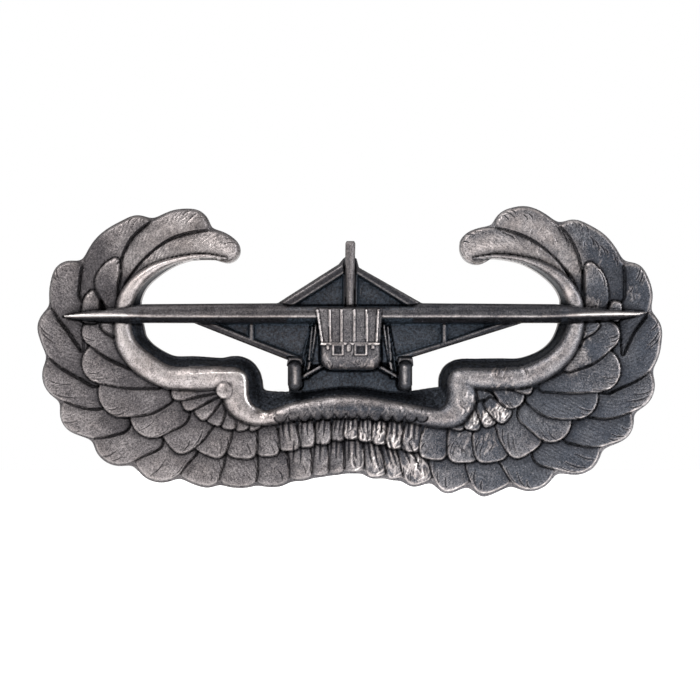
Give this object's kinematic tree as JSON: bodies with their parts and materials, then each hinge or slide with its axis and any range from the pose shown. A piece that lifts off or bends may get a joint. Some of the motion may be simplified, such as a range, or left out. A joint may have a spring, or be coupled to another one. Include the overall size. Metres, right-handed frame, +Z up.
{
  "type": "lapel pin",
  "caption": "Oxidised silver lapel pin: a front-on glider across inward-curving feathered wings, with posts and small butterfly clutches.",
  "frame": {"origin": "centre of the raised tablet on the back of the badge", "axes": "worn upright: X across the wings, +Z up, +Y out of the back towards the wearer, the relief faces -Y"},
  "size_m": [0.0382, 0.011, 0.0174],
  "materials": {
    "silver": "oxidised, bright on the high spots",
    "post_metal": "drawn wire",
    "solder": "dull, flowed",
    "cup_brass": "satin",
    "spring_brass": "satin"
  },
  "bodies": {
    "badge": {"badge_body": "silver", "post_pad_left": "post_metal", "post_pad_right": "post_metal", "post_left": "post_metal", "post_right": "post_metal", "solder_left": "solder", "solder_right": "solder"},
    "cup_left": {"clutch_cup_left": "cup_brass"},
    "spring_left": {"spring_plate_left": "spring_brass"},
    "arm_a_left_body": {"arm_a_left": "spring_brass"},
    "arm_b_left_body": {"arm_b_left": "spring_brass"},
    "cup_right": {"clutch_cup_right": "cup_brass"},
    "spring_right": {"spring_plate_right": "spring_brass"},
    "arm_a_right_body": {"arm_a_right": "spring_brass"},
    "arm_b_right_body": {"arm_b_right": "spring_brass"}
  },
  "joints": [
    {"name": "left_clutch_slide", "type": "slide", "parent": "badge", "child": "cup_left", "axis": [0, 1, 0], "range_m": [-0.0009, 0.006]},
    {"name": "left_spring_turn", "type": "hinge", "parent": "cup_left", "child": "spring_left", "pos_m": [-0.0088, 0.00305, -0.0044], "axis": [0, 1, 0], "continuous": true},
    {"name": "left_arm_a_squeeze", "type": "hinge", "parent": "spring_left", "child": "arm_a_left_body", "pos_m": [-0.011, 0.00409, -0.0044], "axis": [0, 0, 1], "range_deg": [0, 8], "stiffness_Nm_per_rad": 0.002},
    {"name": "left_arm_b_squeeze", "type": "hinge", "parent": "spring_left", "child": "arm_b_left_body", "pos_m": [-0.0066, 0.00409, -0.0044], "axis": [0, 0, 1], "range_deg": [-8, 0], "stiffness_Nm_per_rad": 0.002},
    {"name": "right_clutch_slide", "type": "slide", "parent": "badge", "child": "cup_right", "axis": [0, 1, 0], "range_m": [-0.0009, 0.006]},
    {"name": "right_spring_turn", "type": "hinge", "parent": "cup_right", "child": "spring_right", "pos_m": [0.0088, 0.00305, -0.0044], "axis": [0, 1, 0], "continuous": true},
    {"name": "right_arm_a_squeeze", "type": "hinge", "parent": "spring_right", "child": "arm_a_right_body", "pos_m": [0.0066, 0.00409, -0.0044], "axis": [0, 0, 1], "range_deg": [0, 8], "stiffness_Nm_per_rad": 0.002},
    {"name": "right_arm_b_squeeze", "type": "hinge", "parent": "spring_right", "child": "arm_b_right_body", "pos_m": [0.011, 0.00409, -0.0044], "axis": [0, 0, 1], "range_deg": [-8, 0], "stiffness_Nm_per_rad": 0.002}
  ],
  "couplings": [
    {"joint": "left_arm_b_squeeze", "follows": "left_arm_a_squeeze", "ratio": -1},
    {"joint": "right_arm_b_squeeze", "follows": "right_arm_a_squeeze", "ratio": -1}
  ]
}
